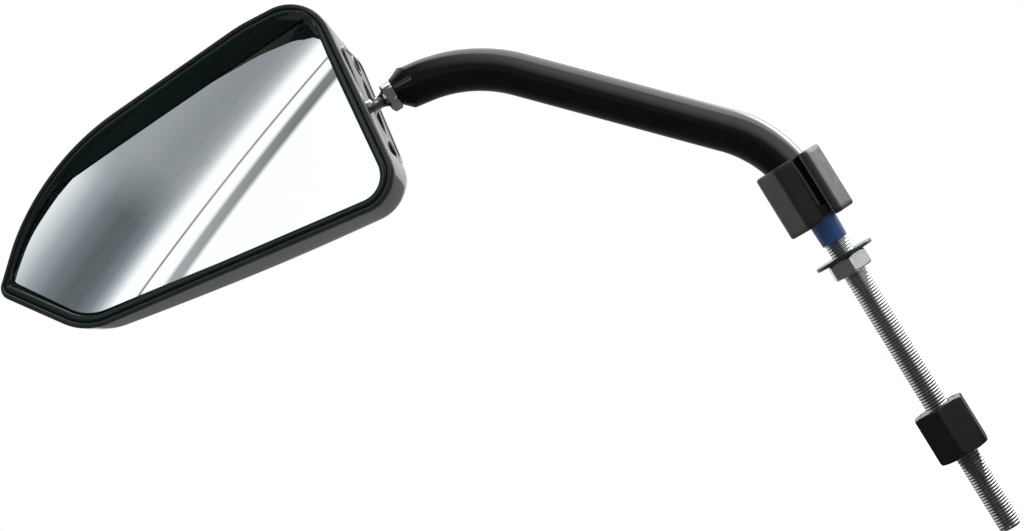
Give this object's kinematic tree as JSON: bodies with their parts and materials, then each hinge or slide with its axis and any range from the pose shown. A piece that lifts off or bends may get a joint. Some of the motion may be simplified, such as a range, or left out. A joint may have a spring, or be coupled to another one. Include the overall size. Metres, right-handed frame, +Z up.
{
  "type": "motorcycle mirror",
  "caption": "Left-hand motorcycle mirror with a convex glass in a tapered shell, a ball joint on a bent arm and a threaded stem with a washer, a nut and a capped nut.",
  "frame": {"origin": "on the stem's axis at the foot of its free thread, just above the end chamfer", "axes": "+Z up along the stem's axis; +X from the head towards the stem; +Y is the way the driver looks, so the glass faces -Y"},
  "size_m": [0.3127, 0.063, 0.337],
  "materials": {
    "plated_steel": "zinc-plated thread",
    "bright_zinc": "bright zinc plate",
    "black_washer": "black coated steel",
    "bright_steel": "bright plated steel",
    "spring_steel": "oiled spring steel",
    "dark_screw": "blackened steel",
    "black_enamel": "gloss black enamel on a cast bar",
    "boot_rubber": "satin black rubber",
    "blue_collar": "blue thread-locking sleeve",
    "cap_plastic": "black moulding",
    "cover_plastic": "black moulding, fine grain",
    "shell_plastic": "polished black moulding",
    "tray_plastic": "polished black moulding",
    "holder_plastic": "black moulding",
    "seat_nylon": "natural nylon",
    "bond_layer": "soft adhesive",
    "silvered_glass": "convex, silvered on its back"
  },
  "bodies": {
    "arm_body": {"arm": "black_enamel", "stem": "plated_steel", "thread_collar": "blue_collar", "arm_boot": "boot_rubber", "arm_lock_nut": "bright_zinc", "ball_stud": "bright_steel"},
    "seat": {"ball_seat": "seat_nylon"},
    "cup": {"pressure_cup": "spring_steel"},
    "head": {"housing": "shell_plastic", "glass_tray": "tray_plastic", "mirror_glass": "silvered_glass", "glass_bond": "bond_layer", "socket_cover": "cover_plastic", "cover_screws": "dark_screw", "holder_nuts": "bright_zinc", "spring_holder": "holder_plastic", "pressure_spring": "spring_steel"},
    "washer_body": {"washer": "black_washer"},
    "nut": {"jam_nut": "bright_zinc"},
    "lower_nut": {"base_nut": "plated_steel", "nut_cap": "cap_plastic"}
  },
  "joints": [
    {"name": "head_tilt", "type": "hinge", "parent": "arm_body", "child": "seat", "pos_m": [-0.13626, 0, 0.27959], "axis": [1, 0, 0], "continuous": true},
    {"name": "head_yaw", "type": "hinge", "parent": "seat", "child": "cup", "pos_m": [-0.13626, 0, 0.27959], "axis": [0.0289, 0.2059, 0.9781], "range_deg": [-12, 12]},
    {"name": "head_roll", "type": "hinge", "parent": "cup", "child": "head", "pos_m": [-0.13626, 0, 0.27959], "axis": [-0.1361, -0.9686, 0.2079], "range_deg": [-15, 15]},
    {"name": "washer_slide", "type": "slide", "parent": "arm_body", "child": "washer_body", "axis": [0, 0, 1], "range_m": [-0.0305, 0.0052]},
    {"name": "nut_spin", "type": "hinge", "parent": "washer_body", "child": "nut", "pos_m": [0, 0, 0.12], "axis": [0, 0, 1], "range_deg": [-8640, 1440]},
    {"name": "base_nut_travel", "type": "slide", "parent": "arm_body", "child": "lower_nut", "axis": [0, 0, 1], "range_m": [-0.033, 0.03]}
  ],
  "couplings": [
    {"joint": "washer_slide", "follows": "nut_spin", "m_per_rad": 0.00019894}
  ]
}
